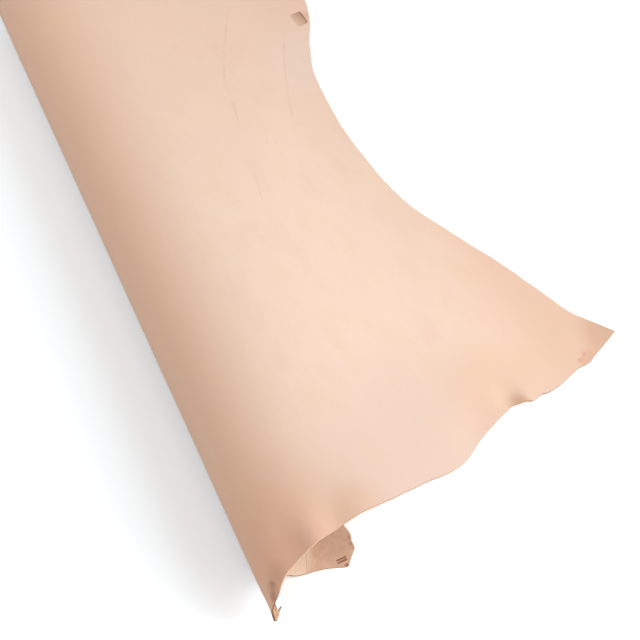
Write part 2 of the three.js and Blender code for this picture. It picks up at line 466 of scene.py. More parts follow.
@dataclass
class FoldedForm:
    """The middle surface of the hide as it lies, from places on the flat hide to space.

    box holds the lowest and highest corners of the hide's solid. Troughs and swelling fade out
    where the sheet is lower than wave_rise, and probe is the distance at which the surface is
    sampled to find its normal.
    """

    box: tuple[Vector, Vector]
    waves: tuple[Wave, ...] = WAVES
    wave_rise: float = 0.025
    swelling: float = 0.0004
    swelling_length: float = 0.060
    swelling_slice: float = 0.5  # the slice of the noise that the swelling follows
    probe: float = 0.0005
    neck: FoldSection = field(default_factory=lambda: FoldSection(End.NECK))
    bend: FoldSection = field(default_factory=lambda: FoldSection(End.BEND))
    start: np.ndarray = field(init=False)

    def __post_init__(self) -> None:
        """Find where the flat hide's axes start in the frame."""
        low, high = self.box
        self.start = np.array([low.x + THICKNESS / 2, high.y - BEND_CUT, 0.0])

    def laid(self, flat: np.ndarray) -> np.ndarray:
        """Places in space of the hide laid over its fold, without its waves.

        Args:
            flat: the across and the along of each place, as two rows.

        Returns:
            One point for each place.
        """
        across, along = flat
        share = along / BEND_CUT
        neck, bend = self.neck, self.bend
        x = np.interp(across, neck.places, neck.x) * (1 - share)
        x += np.interp(across, bend.places, bend.x) * share
        z = np.interp(across, neck.places, neck.z) * (1 - share)
        z += np.interp(across, bend.places, bend.z) * share
        return np.stack((x, along, z), axis=1)

    def normals(self, surface: Callable[[np.ndarray], np.ndarray],
                flat: np.ndarray) -> np.ndarray:
        """Unit normals out of the grain side.

        Args:
            surface: the surface, from places on the flat hide to places in space.
            flat: the across and the along of each place, as two rows.

        Returns:
            One unit vector for each place.
        """
        right, up = np.array([[self.probe], [0]]), np.array([[0], [self.probe]])
        rightward = surface(flat + right) - surface(flat - right)
        endward = surface(flat + up) - surface(flat - up)
        crossed = np.cross(rightward, endward)
        return crossed / np.linalg.norm(crossed, axis=1, keepdims=True)

    def middle(self, flat: np.ndarray) -> np.ndarray:
        """Places in space of the hide's middle surface, with its waves.

        Args:
            flat: the across and the along of each place, as two rows.

        Returns:
            One point for each place.
        """
        points = self.laid(flat)
        heights = sum(wave.heights(flat) for wave in self.waves)
        rise = np.clip((points[:, 2] - THICKNESS / 2) / self.wave_rise, 0, 1)
        heights = np.where(heights < 0, heights * rise, heights)
        swells = [noise.noise(Vector((*place, self.swelling_slice)))
                  for place in flat.T / self.swelling_length]
        heights += self.swelling * np.array(swells) * rise
        return points + self.normals(self.laid, flat) * heights[:, None]


@dataclass(frozen=True)
class Barb:
    """The small torn barb beside the lobe's tip, drawn out of the front edge.

    Its root is the stretch of edge that lies between low and high across, and nearer the neck
    end than before.
    """

    low: float = -0.0287
    high: float = -0.0253
    before: float = 0.020
    widthways: tuple[float, float, float] = (0.6, 0.8, 0)
    steps: tuple[BarbStep, ...] = BARB_STEPS

    def draw_out(self, sheet: bmesh.types.BMesh) -> None:
        """Extrude the root along the barb's steps.

        Args:
            sheet: the flat mesh.
        """
        edges = [line for line in sheet.edges if line.is_boundary and all(
                 self.low < v.co.x < self.high and v.co.y < self.before for v in line.verts)]
        for step in self.steps:
            made = bmesh.ops.extrude_edge_only(sheet, edges=edges)["geom"]
            edges = [item for item in made if isinstance(item, bmesh.types.BMEdge)
                     and item.is_boundary and all(v in made for v in item.verts)]
            verts = sorted({v for item in edges for v in item.verts}, key=lambda v: v.co.y)
            for place, vert in enumerate(verts):
                side = 2 * place / max(len(verts) - 1, 1) - 1
                middle = Vector((step.across, step.along, 0))
                vert.co = middle + Vector(self.widthways) * side * step.half_width


@dataclass(frozen=True)
class KnifeWobble:
    """The unevenness of the knife's cut, stronger up to spine_to across, along the spine.

    reach is how far inside the cut the mesh still follows it. The seed fixes the noise, which
    would otherwise change from run to run.
    """

    size: float = 0.0008
    spine_size: float = 0.0018
    spine_to: float = -0.1335
    length: float = 0.012
    reach: float = 0.008
    seed: int = 9

    def roughen(self, sheet: bmesh.types.BMesh) -> None:
        """Move the cut, and the mesh near it by a share that falls inwards.

        Args:
            sheet: the flat mesh.
        """
        noise.seed_set(self.seed)
        rim = [vert.co.copy() for vert in sheet.verts if vert.is_boundary]
        nearest = kdtree.KDTree(len(rim))
        for place, co in enumerate(rim):
            nearest.insert(co, place)
        nearest.balance()
        for vert in sheet.verts:
            cut, _, away = nearest.find(vert.co)
            if away < self.reach:
                wobble = noise.noise_vector(vert.co / self.length) * (1 - away / self.reach)
                wobble *= self.spine_size if cut.x < self.spine_to else self.size
                vert.co += Vector((wobble.x, wobble.y, 0))


def srgb(code: str) -> tuple[float, float, float, float]:
    """Linear colour of an sRGB hex code.

    Args:
        code: the code, such as '#f4d6bf'.

    Returns:
        The three channels and a full alpha.
    """
    channels = [int(code[i : i + 2], 16) / 255 for i in (1, 3, 5)]
    linear = [c / 12.92 if c <= 0.04045 else ((c + 0.055) / 1.055) ** 2.4 for c in channels]
    return (*linear, 1.0)


def add_node(tree: bpy.types.NodeTree, kind: str, inputs: Sequence[Any] | dict[Any, Any] = (),
             **settings: Any) -> bpy.types.Node:
    """Add a node with its settings and links.

    Args:
        tree: the node tree.
        kind: the node's type after 'ShaderNode', such as 'Mix'.
        inputs: what goes into its input sockets, in their order or by name or number. Each is a
            value, a socket, or a node that stands for its first output in use.
        settings: the node's own settings.

    Returns:
        The new node.
    """
    node = tree.nodes.new("ShaderNode" + kind)
    for name, value in settings.items():
        setattr(node, name, value)
    for key, value in inputs.items() if isinstance(inputs, dict) else enumerate(inputs):
        if isinstance(value, bpy.types.Node):
            value = next(socket for socket in value.outputs if socket.enabled)
        if isinstance(value, bpy.types.NodeSocket):
            tree.links.new(value, node.inputs[key])
        else:
            node.inputs[key].default_value = value
    return node


def new_material(name: str) -> tuple[bpy.types.Material, bpy.types.NodeTree]:
    """Make an empty material.

    Args:
        name: the material's name.

    Returns:
        The material and its node tree.
    """
    material = bpy.data.materials.new(name)
    material.use_nodes = True
    material.node_tree.nodes.clear()
    return material, material.node_tree


def flat_places(tree: bpy.types.NodeTree) -> bpy.types.Node:
    """Add the places on the flat hide, in millimetres.

    Args:
        tree: the node tree.

    Returns:
        The node that gives the places.
    """
    flat = add_node(tree, "UVMap", uv_map=FLAT_MAP)
    return add_node(tree, "VectorMath", {0: flat, "Scale": 1 / MM}, operation="SCALE")


@dataclass(frozen=True)
class Blotches:
    """A noise whose blotches have a real size.

    size is a blotch's width in millimetres, stretch how many times longer it is across and
    along, and turn the degrees by which the stretched noise is turned.
    """

    size: float
    stretch: tuple[float, float] = (1, 1)
    turn: float = 0
    detail: float = 2
    roughness: float = 0.5
    distortion: float = 0

    def build(self, tree: bpy.types.NodeTree, places: bpy.types.Node) -> bpy.types.Node:
        """Add the noise.

        Args:
            tree: the node tree.
            places: places in millimetres.

        Returns:
            The node that gives the noise, from about 0 to 1.
        """
        long, high = self.stretch
        scale = (1 / (self.size * long), 1 / (self.size * high), 1 / self.size)
        turned = add_node(tree, "VectorRotate", {"Vector": places,
                          "Angle": math.radians(-self.turn)}, rotation_type="Z_AXIS")
        mapped = add_node(tree, "VectorMath", (turned, scale), operation="MULTIPLY")
        return add_node(tree, "TexNoise", {"Vector": mapped, "Scale": 1.0,
                        "Detail": self.detail, "Roughness": self.roughness,
                        "Distortion": self.distortion})


@dataclass(frozen=True)
class Tint:
    """A colour that covers another more and more as a value goes from one level to the next."""

    colour: str
    start: float
    full: float
    share: float = 1.0

    def cover(self, tree: bpy.types.NodeTree, below: bpy.types.Node | tuple[float, ...],
              value: bpy.types.Node | bpy.types.NodeSocket) -> bpy.types.Node:
        """Lay the colour over the one below.

        Args:
            tree: the node tree.
            below: the colour that is covered.
            value: the value that says how far.

        Returns:
            The node that mixes the two.
        """
        amount = add_node(tree, "MapRange", (value, self.start, self.full, 0, self.share),
                          interpolation_type="SMOOTHSTEP")
        return add_node(tree, "Mix", {0: amount, 6: below, 7: srgb(self.colour)},
                        data_type="RGBA")


@dataclass(frozen=True)
class ToneBand:
    """Where the hide changes tone towards a line across it or along it, in millimetres."""

    part: str
    axis: Axis
    tint: Tint


@dataclass(frozen=True)
class ToneSpot:
    """A soft round patch of another tone on the flat hide, in millimetres."""

    part: str
    across: float
    along: float
    tint: Tint

    def cover(self, tree: bpy.types.NodeTree, below: bpy.types.Node,
              places: bpy.types.Node) -> bpy.types.Node:
        """Lay the patch over the colour below.

        Args:
            tree: the node tree.
            below: the colour that is covered.
            places: places in millimetres.

        Returns:
            The node that mixes the two.
        """
        away = add_node(tree, "VectorMath", (places, (self.across, self.along, 0)),
                        operation="DISTANCE")
        return self.tint.cover(tree, below, away)


@dataclass(frozen=True)
class SurfaceLine:
    """A faint line on the hide: its across at each along, in millimetres.

    It is at its full strength over the core share of its width, and fades in and out over the
    tail share of its length at both ends.
    """

    part: str
    across: tuple[float, ...]
    along: tuple[float, ...]
    strength: float
    width: float
    core: float = 0.1
    tail: float = 0.15

    def mask(self, tree: bpy.types.NodeTree, across: bpy.types.NodeSocket | bpy.types.Node,
             along: bpy.types.NodeSocket) -> bpy.types.Node:
        """Add how strongly the line shows at each place.

        Args:
            tree: the node tree.
            across: the places' across, in millimetres.
            along: the places' along, in millimetres.

        Returns:
            The node that gives the mask, from 0 to the line's strength.
        """
        low, high = self.along[0], self.along[-1]
        left, right = min(self.across), max(self.across)
        share = add_node(tree, "MapRange", (along, low, high))
        curve = add_node(tree, "FloatCurve", {"Value": share})
        points = curve.mapping.curves[0].points
        for _ in self.along[2:]:
            points.new(0.5, 0.5)
        for point, a, b in zip(points, self.along, self.across):
            point.location = ((a - low) / (high - low), (b - left) / (right - left))
        curve.mapping.update()
        centre = add_node(tree, "MapRange", (curve, 0, 1, left, right))
        away = add_node(tree, "Math", (across, centre), operation="SUBTRACT")
        away = add_node(tree, "Math", (away,), operation="ABSOLUTE")
        line = add_node(tree, "MapRange", (away, self.width, self.core * self.width, 0,
                        self.strength), interpolation_type="SMOOTHSTEP")
        tail = self.tail * (high - low)
        for end, full in ((low, low + tail), (high, high - tail)):
            shown = add_node(tree, "MapRange", (along, end, full),
                             interpolation_type="SMOOTHSTEP")
            line = add_node(tree, "Math", (line, shown), operation="MULTIPLY")
        return line


TONE_BANDS = (
    # spine: a warmer, darker tan along the fold's outer side, painted shade of the fold
    ToneBand("spine", Axis.ACROSS, Tint("#f4c8ab", 155, 45, 1.0)),
    ToneBand("foreleg", Axis.ACROSS, Tint("#f4c8ab", 350, 520, 0.60)),
    ToneBand("bend end", Axis.ALONG, Tint("#f4c8ab", 420, 800, 0.38)),
)

GRAIN_SPOTS = (
    ToneSpot("lobe", 40, 0, Tint("#f2bc9c", 190, 30, 0.9)),
    # a darker, warmer patch on the dark side of the edge trough, painted shade
    ToneSpot("painted shade in the lobe edge trough", 158, 44, Tint("#efb995", 48, 8, 0.9)),
    ToneSpot("lobe clamp", 22.5, 2, Tint("#b05a36", 10, 2, 0.50)),
    # a darker patch in the hollow just inside the lobe's cut, painted shade
    ToneSpot("painted shade in the hollow beside the lobe clamp", 42, 18, Tint("#b98160", 22, 4, 0.24)),
    ToneSpot("neck hollow", 300, 55, Tint("#ebcfbe", 230, 60, 1.0)),
    ToneSpot("hollow corner", 390, 150, Tint("#edc6a9", 95, 20, 0.6)),
    # a darker, warmer patch in the dimple, painted shade
    ToneSpot("dimple", 422, 127, Tint("#d29c78", 19, 1, 0.60)),
    ToneSpot("beside the belly clamp", 419, 764, Tint("#d9a183", 10, 2, 0.45)),
    ToneSpot("belly edge", 398, 690, Tint("#f6e0d4", 90, 20, 0.45)),
    # a darker colour at the foreleg tip, painted shade of the up-curled tip
    ToneSpot("foreleg tip", 574, 172, Tint("#e9b99c", 50, 24, 0.55)),
    ToneSpot("foreleg clamp", 529, 157, Tint("#f0b397", 13, 6, 0.40)),
    ToneSpot("foreleg clamp", 521, 153, Tint("#f8b488", 8, 0, 0.55)),
    # two dark dabs along the crease of the curled foreleg tip, painted shade
    ToneSpot("painted shade of the foreleg crease", 527, 161, Tint("#b98066", 5, 0, 0.32)),
    ToneSpot("painted shade of the foreleg crease", 518, 156, Tint("#b98066", 6, 0, 0.26)),
    # a bright orange dab at the edge of the foreleg clamp mark, painted highlight
    ToneSpot("painted highlight on the foreleg clamp edge", 538, 156, Tint("#ffc793", 6, 0, 0.45)),
)

FLESH_SPOTS = (
    # paler flesh where the strip turns up to the lamps, painted light
    ToneSpot("painted light towards the fold", -56, 70, Tint("#ffe9d3", 49, 40, 0.85)),
    # darker flesh where the upper layer overhangs the strip, painted shade
    ToneSpot("painted shade under the upper layer", -132, 56, Tint("#d0ab92", 36, 8, 0.46)),
    ToneSpot("torn tip", -24, 0, Tint("#d99a68", 26, 6, 0.6)),
    ToneSpot("spine corner", -131.5, 30.5, Tint("#a0583c", 3.6, 1, 0.8)),
    ToneSpot("spine edge", -148.5, 59, Tint("#9a6248", 5, 1, 0.40)),
    ToneSpot("spine edge", -146, 52, Tint("#a0684e", 4, 1, 0.45)),
    ToneSpot("spine edge", -147.5, 46.5, Tint("#a0684e", 3, 1, 0.45)),
)

CUT_SPOTS = (
    ToneSpot("lobe", 78, 22, Tint("#efcdae", 58, 40, 0.75)),
    ToneSpot("lobe tip", 14, -3, Tint("#8a5a3e", 32, 20, 0.6)),
    ToneSpot("torn tip", -22, -4, Tint("#6f4a38", 28, 18, 0.75)),
    # foreleg: a darker cut edge, painted shade of an edge that faces away from the lamps
    ToneSpot("foreleg", 508, 146, Tint("#8b7464", 74, 58, 0.75)),
    ToneSpot("spine corner", -145, 50, Tint("#b07a5e", 34, 20, 0.4)),
)

GROWTH_LINES = (
    SurfaceLine("growth", (241, 252, 257, 276, 300, 335), (575, 622, 660, 711, 760, 822), 0.8,
                3.4),
    SurfaceLine("growth", (216, 220, 224, 228, 232), (422, 446, 466, 490, 520), 0.7, 2.6),
    SurfaceLine("growth", (322, 344, 366, 388), (573, 650, 710, 759), 0.7, 3.4),
    SurfaceLine("growth", (209, 211), (349, 359), 0.7, 2.2),
    SurfaceLine("growth", (271, 273), (556, 568), 0.6, 2.2),
    SurfaceLine("growth", (285, 287), (555, 569), 0.6, 2.2),
)

SCRATCHES = (
    SurfaceLine("scratch", (-86, -98), (36, 69), 1.0, 0.8),
    SurfaceLine("scratch", (-90, -95), (42, 54), 0.6, 0.6),
    SurfaceLine("scratch", (-74, -78), (42, 52), 0.5, 0.6),
    SurfaceLine("scratch", (-103, -106), (50, 62), 0.5, 0.6),
)


def finish_leather(tree: bpy.types.NodeTree, colour: bpy.types.Node, height: bpy.types.Node,
                   roughness: bpy.types.Node | float, shine: float, bump: float = MM,
                   **sheen: Any) -> None:
    """Add the shader and the output of a leather surface.

    Args:
        tree: the node tree.
        colour: the base colour.
        height: the height of the surface's texture.
        roughness: the roughness of its reflections.
        shine: the strength of its reflections.
        bump: the distance that a height of one stands for.
        sheen: the shader's sheen inputs, with an underscore for each space.
    """
    normal = add_node(tree, "Bump", {"Height": height, "Distance": bump, "Strength": 1.0})
    soft = {name.replace("_", " "): value for name, value in sheen.items()}
    shader = add_node(tree, "BsdfPrincipled", {"Base Color": colour, "Roughness": roughness,
                      "IOR": LEATHER_IOR, "Specular IOR Level": shine, "Normal": normal, **soft})
    add_node(tree, "OutputMaterial", {"Surface": shader})


@dataclass(frozen=True)
class GrainFinish:
    """Natural vegetable-tanned grain: full grain, undyed, only plated smooth.

    It gives the eye a matte, warm cream that turns browner towards the edges and towards the
    spine, where the warmer tan along the fold's outer side is painted shade, a breath of pink
    and straw clouds, hair pores too fine to see one by one, a few growth wrinkles, and a
    polished brown where a clamp pressed it, partly painted shade on the walls of its dents.
    Some of its tone spots are painted shade, and one is a painted highlight.
    """

    cream: str = "#f8dcc7"
    mottle: Blotches = Blotches(42, stretch=(1, 1.8), detail=4)
    mottled: tuple[float, float] = (0.2, 0.8)  # the levels between which its roughness varies
    rose: Tint = Tint("#f1cab8", 0.50, 0.75, 0.35)
    straw: Tint = Tint("#f0d0b0", 0.50, 0.25, 0.35)
    flecks: Blotches = Blotches(2.4, detail=3)
    flecked: Tint = Tint("#dcae8c", 0.3, 0.8, 0.10)
    pores: Blotches = Blotches(1.5)  # real pores are 0.3 mm wide: drawn coarser, to show
    pore_depth: float = 0.02
    wander: Blotches = Blotches(9)
    wander_reach: float = 2.5
    breaks: Blotches = Blotches(24, detail=1)
    broken: tuple[float, float] = (0.08, 0.65)
    wrinkled: Tint = Tint("#c8a384", 0.0, 1.0, 0.20)
    wrinkle_depth: float = 0.032
    # laid by the clamp attribute: the polished brown of a dent's floor, and on its walls partly
    # painted shade
    burnished_and_wall_shade: Tint = Tint("#a56f4e", 0.0, 1.0)
    polish: float = 0.15  # how much smoother a clamp's press leaves it
    roughness: tuple[float, float] = (0.52, 0.61)
    shine: float = 0.35
    sheen: float = 0.08
    sheen_roughness: float = 0.5

    def build(self) -> bpy.types.Material:
        """Make the material.

        Returns:
            The material.
        """
        material, tree = new_material("vegetable_tanned_cowhide_plated_grain")
        places = flat_places(tree)
        axes = add_node(tree, "SeparateXYZ", (places,)).outputs
        mottle = self.mottle.build(tree, places)
        wrinkles = self._wrinkles(tree, places, axes)
        burnish = add_node(tree, "Attribute", attribute_name=BURNISH_AND_WALL_SHADE).outputs["Fac"]
        colour = srgb(self.cream)
        for band in TONE_BANDS:
            colour = band.tint.cover(tree, colour, axes[band.axis])
        for spot in GRAIN_SPOTS:
            colour = spot.cover(tree, colour, places)
        colour = self.rose.cover(tree, colour, mottle)
        colour = self.straw.cover(tree, colour, mottle)
        colour = self.flecked.cover(tree, colour, self.flecks.build(tree, places))
        colour = self.wrinkled.cover(tree, colour, wrinkles)
        colour = self.burnished_and_wall_shade.cover(tree, colour, burnish)
        pores = add_node(tree, "Math", (self.pores.build(tree, places), self.pore_depth),
                         operation="MULTIPLY")
        height = add_node(tree, "Math", (wrinkles, -self.wrinkle_depth, pores),
                          operation="MULTIPLY_ADD")
        mild = add_node(tree, "MapRange", (mottle, *self.mottled, *self.roughness))
        roughness = add_node(tree, "Math", (burnish, -self.polish, mild),
                             operation="MULTIPLY_ADD")
        finish_leather(tree, colour, height, roughness, self.shine, Sheen_Weight=self.sheen,
                       Sheen_Roughness=self.sheen_roughness)
        return material

    def _wrinkles(self, tree: bpy.types.NodeTree, places: bpy.types.Node,
                  axes: Sequence[bpy.types.NodeSocket]) -> bpy.types.Node:
        """Mask of the growth wrinkles, which wander and break off, from 0 to 1.

        Args:
            tree: the node tree.
            places: places in millimetres.
            axes: the same places' across and along.

        Returns:
            The node that gives the mask.
        """
        wander = add_node(tree, "MapRange", (self.wander.build(tree, places), 0, 1,
                          -self.wander_reach, self.wander_reach))
        across = add_node(tree, "Math", (axes[Axis.ACROSS], wander), operation="ADD")
        broken = add_node(tree, "MapRange", (self.breaks.build(tree, places), *self.broken),
                          interpolation_type="SMOOTHSTEP")
        total: bpy.types.Node | float = 0.0
        for line in GROWTH_LINES:
            mask = line.mask(tree, across, axes[Axis.ALONG])
            total = add_node(tree, "Math", (total, mask), operation="ADD")
        return add_node(tree, "Math", (total, broken), operation="MULTIPLY", use_clamp=True)


@dataclass(frozen=True)
class FleshFinish:
    """The flesh side: split and shaved fibre, like fine suede.

    It gives the eye a dull, warm tan with soft patches, a short nap and a few fine scratches,
    and loose, darker fibre where the tip is torn. It is paler towards the fold, painted light
    where the strip turns up to the lamps, and darker near the spine cut, painted shade under
    the upper layer.
    """

    dark: str = "#e8c0a5"
    patches: Blotches = Blotches(9, detail=5, roughness=0.62, distortion=0.5)
    light: Tint = Tint("#f5d4ba", 0.30, 0.72)
    fibres: Blotches = Blotches(1.1, stretch=(1, 5), turn=14, detail=3, distortion=1.2)
    napped: Tint = Tint("#fbe0c8", 0.50, 0.75, 0.30)
    scratched: Tint = Tint("#bd8d6f", 0.0, 1.0, 0.45)
    tear: Blotches = Blotches(2.2, stretch=(3.5, 1), turn=50, detail=4, distortion=0.5)
    torn_place: tuple[float, float, float] = (-18, -3, 0)
    torn_reach: tuple[float, float] = (27, 18)
    torn_level: float = 0.45  # the value to which the fibre calms down away from the tear
    torn: Tint = Tint("#7a4526", 0.46, 0.56, 0.9)
    torn_light: Tint = Tint("#ffe8c8", 0.44, 0.34, 0.9)
    barb: ToneSpot = ToneSpot("barb", -39, 8.5, Tint("#65493a", 9, 4, 0.85))
    # laid by the clamp attribute: the polished brown of a dent, and on its walls partly painted
    # shade
    pressed: Tint = Tint("#83472f", 0.0, 1.0)
    fibre_depth: float = 0.26
    roughness: float = 0.92
    shine: float = 0.2
    sheen: float = 0.25
    sheen_roughness: float = 0.6
    sheen_tint: str = "#ffe6d2"

    def build(self) -> bpy.types.Material:
        """Make the material.

        Returns:
            The material.
        """
        material, tree = new_material("vegetable_tanned_cowhide_shaved_flesh")
        places = flat_places(tree)
        axes = add_node(tree, "SeparateXYZ", (places,)).outputs
        fibres = self.fibres.build(tree, places)
        burnish = add_node(tree, "Attribute", attribute_name=BURNISH_AND_WALL_SHADE).outputs["Fac"]
        colour = self.light.cover(tree, srgb(self.dark), self.patches.build(tree, places))
        for spot in FLESH_SPOTS:
            colour = spot.cover(tree, colour, places)
        colour = self.napped.cover(tree, colour, fibres)
        for line in SCRATCHES:
            colour = self.scratched.cover(tree, colour, line.mask(tree, *axes[:2]))
        colour = self.barb.cover(tree, self._tear(tree, colour, places), places)
        colour = self.pressed.cover(tree, colour, burnish)
        height = add_node(tree, "Math", (fibres, self.fibre_depth), operation="MULTIPLY")
        finish_leather(tree, colour, height, self.roughness, self.shine, Sheen_Weight=self.sheen,
                       Sheen_Roughness=self.sheen_roughness, Sheen_Tint=srgb(self.sheen_tint))
        return material

    def _tear(self, tree: bpy.types.NodeTree, colour: bpy.types.Node,
              places: bpy.types.Node) -> bpy.types.Node:
        """Mottle the colour with light and dark fibre round the torn tip.

        Args:
            tree: the node tree.
            colour: the colour below.
            places: places in millimetres.

        Returns:
            The node that gives the mottled colour.
        """
        away = add_node(tree, "VectorMath", (places, self.torn_place), operation="DISTANCE")
        near = add_node(tree, "MapRange", (away, *self.torn_reach),
                        interpolation_type="SMOOTHSTEP")
        swing = add_node(tree, "Math", (self.tear.build(tree, places), 0.5),
                         operation="SUBTRACT")
        value = add_node(tree, "Math", (swing, near, self.torn_level),
                         operation="MULTIPLY_ADD")
        colour = self.torn.cover(tree, colour, value)
        return self.torn_light.cover(tree, colour, value)


@dataclass(frozen=True)
class CutFinish:
    """The raw cut edge: knife-cut fibre, undyed and unburnished.

    It gives the eye a thin pale line, a little rough, with darker fibre ends, which turn quite
    brown where the tip is torn. Along the foreleg it is painted darker, as painted shade of an
    edge that faces away from the lamps.
    """

    dark: str = "#ab8161"
    fibres: Blotches = Blotches(0.9, detail=3)
    light: Tint = Tint("#d4af8f", 0.35, 0.65)
    fibre_depth: float = 0.0002
    roughness: float = 0.85
    shine: float = 0.2

    def build(self) -> bpy.types.Material:
        """Make the material.

        Returns:
            The material.
        """
        material, tree = new_material("vegetable_tanned_cowhide_knife_cut")
        places = flat_places(tree)
        place = add_node(tree, "TexCoord").outputs["Object"]
        solid = add_node(tree, "VectorMath", {0: place, "Scale": 1 / MM}, operation="SCALE")
        fibres = self.fibres.build(tree, solid)
        colour = self.light.cover(tree, srgb(self.dark), fibres)
        for spot in CUT_SPOTS:
            colour = spot.cover(tree, colour, places)
        finish_leather(tree, colour, fibres, self.roughness, self.shine, self.fibre_depth)
        return material


@dataclass(frozen=True)
class FloorFinish:
    """Matte white studio paper, shown white and still holding the shadow.

    It is shown dimmer on the hide's left, a painted shade that deepens the shadow there,
    brighter on the right, a painted light that clears the shadow under the neck, and brighter
    far away, where the lamps reach it less. Close to the fold it is shown darker and cooler, a
    painted shade that also cancels the leather's own warm light there. fade, fold and past are
    stretches across, in metres, over which one shade goes over into the next, and far is one of
    distance from the middle.
    """

    bounce: str = "#cfcfcf"
    # painted shade: dimmer on the hide's left, deepening the shadow there
    shown_left_painted_shade: tuple[float, float, float, float] = (1.275, 1.32, 1.345, 1.0)
    # painted light: brighter on the right, clearing the shadow under the neck
    shown_right_painted_light: tuple[float, float, float, float] = (1.60, 1.68, 1.74, 1.0)
    # painted shade: darker and cooler beside the fold, cancelling the leather's warm bounce
    shown_fold_painted_shade: tuple[float, float, float, float] = (1.16, 1.30, 1.385, 1.0)
    shown_far: tuple[float, float, float, float] = (2.5, 2.5, 2.5, 1.0)
    fade: tuple[float, float] = (-0.30, -0.10)
    fold: tuple[float, float] = (-0.290, -0.246)
    past: tuple[float, float] = (-0.215, -0.240)
    far: tuple[float, float] = (0.9, 2.6)

    def build(self) -> bpy.types.Material:
        """Make the material.

        Returns:
            The material.
        """
        material, tree = new_material("white_studio_paper")
        path = add_node(tree, "LightPath").outputs
        seen: bpy.types.Node | bpy.types.NodeSocket = path["Is Camera Ray"]
        for ray in ("Is Glossy Ray", "Is Transmission Ray"):
            seen = add_node(tree, "Math", (seen, path[ray]), operation="MAXIMUM")
        place = add_node(tree, "TexCoord").outputs["Object"]
        rightward = add_node(tree, "SeparateXYZ", (place,)).outputs["X"]
        away = add_node(tree, "VectorMath", (place,), operation="LENGTH")
        lit, near, past, far = (
            add_node(tree, "MapRange", (value, *reach), interpolation_type="SMOOTHSTEP")
            for value, reach in ((rightward, self.fade), (rightward, self.fold),
                                 (rightward, self.past), (away, self.far)))
        near = add_node(tree, "Math", (near, past), operation="MULTIPLY")
        # the painted shade on the left and by the fold, and the painted light on the right, are
        # laid here
        shown: bpy.types.Node | tuple[float, ...] = self.shown_left_painted_shade
        for share, shade in ((lit, self.shown_right_painted_light), (near, self.shown_fold_painted_shade),
                             (far, self.shown_far)):
            shown = add_node(tree, "Mix", {0: share, 6: shown, 7: shade}, data_type="RGBA")
        colour = add_node(tree, "Mix", {0: seen, 6: srgb(self.bounce), 7: shown},
                          data_type="RGBA")
        shader = add_node(tree, "BsdfDiffuse", {"Color": colour})
        add_node(tree, "OutputMaterial", {"Surface": shader})
        return material


def flat_rows(sheet: bmesh.types.BMesh) -> np.ndarray:
    """Places of a flat mesh's vertices.

    Args:
        sheet: the flat mesh.

    Returns:
        The across and the along of each vertex, as two rows.
    """
    return np.array([[vert.co[axis] for vert in sheet.verts] for axis in Axis])


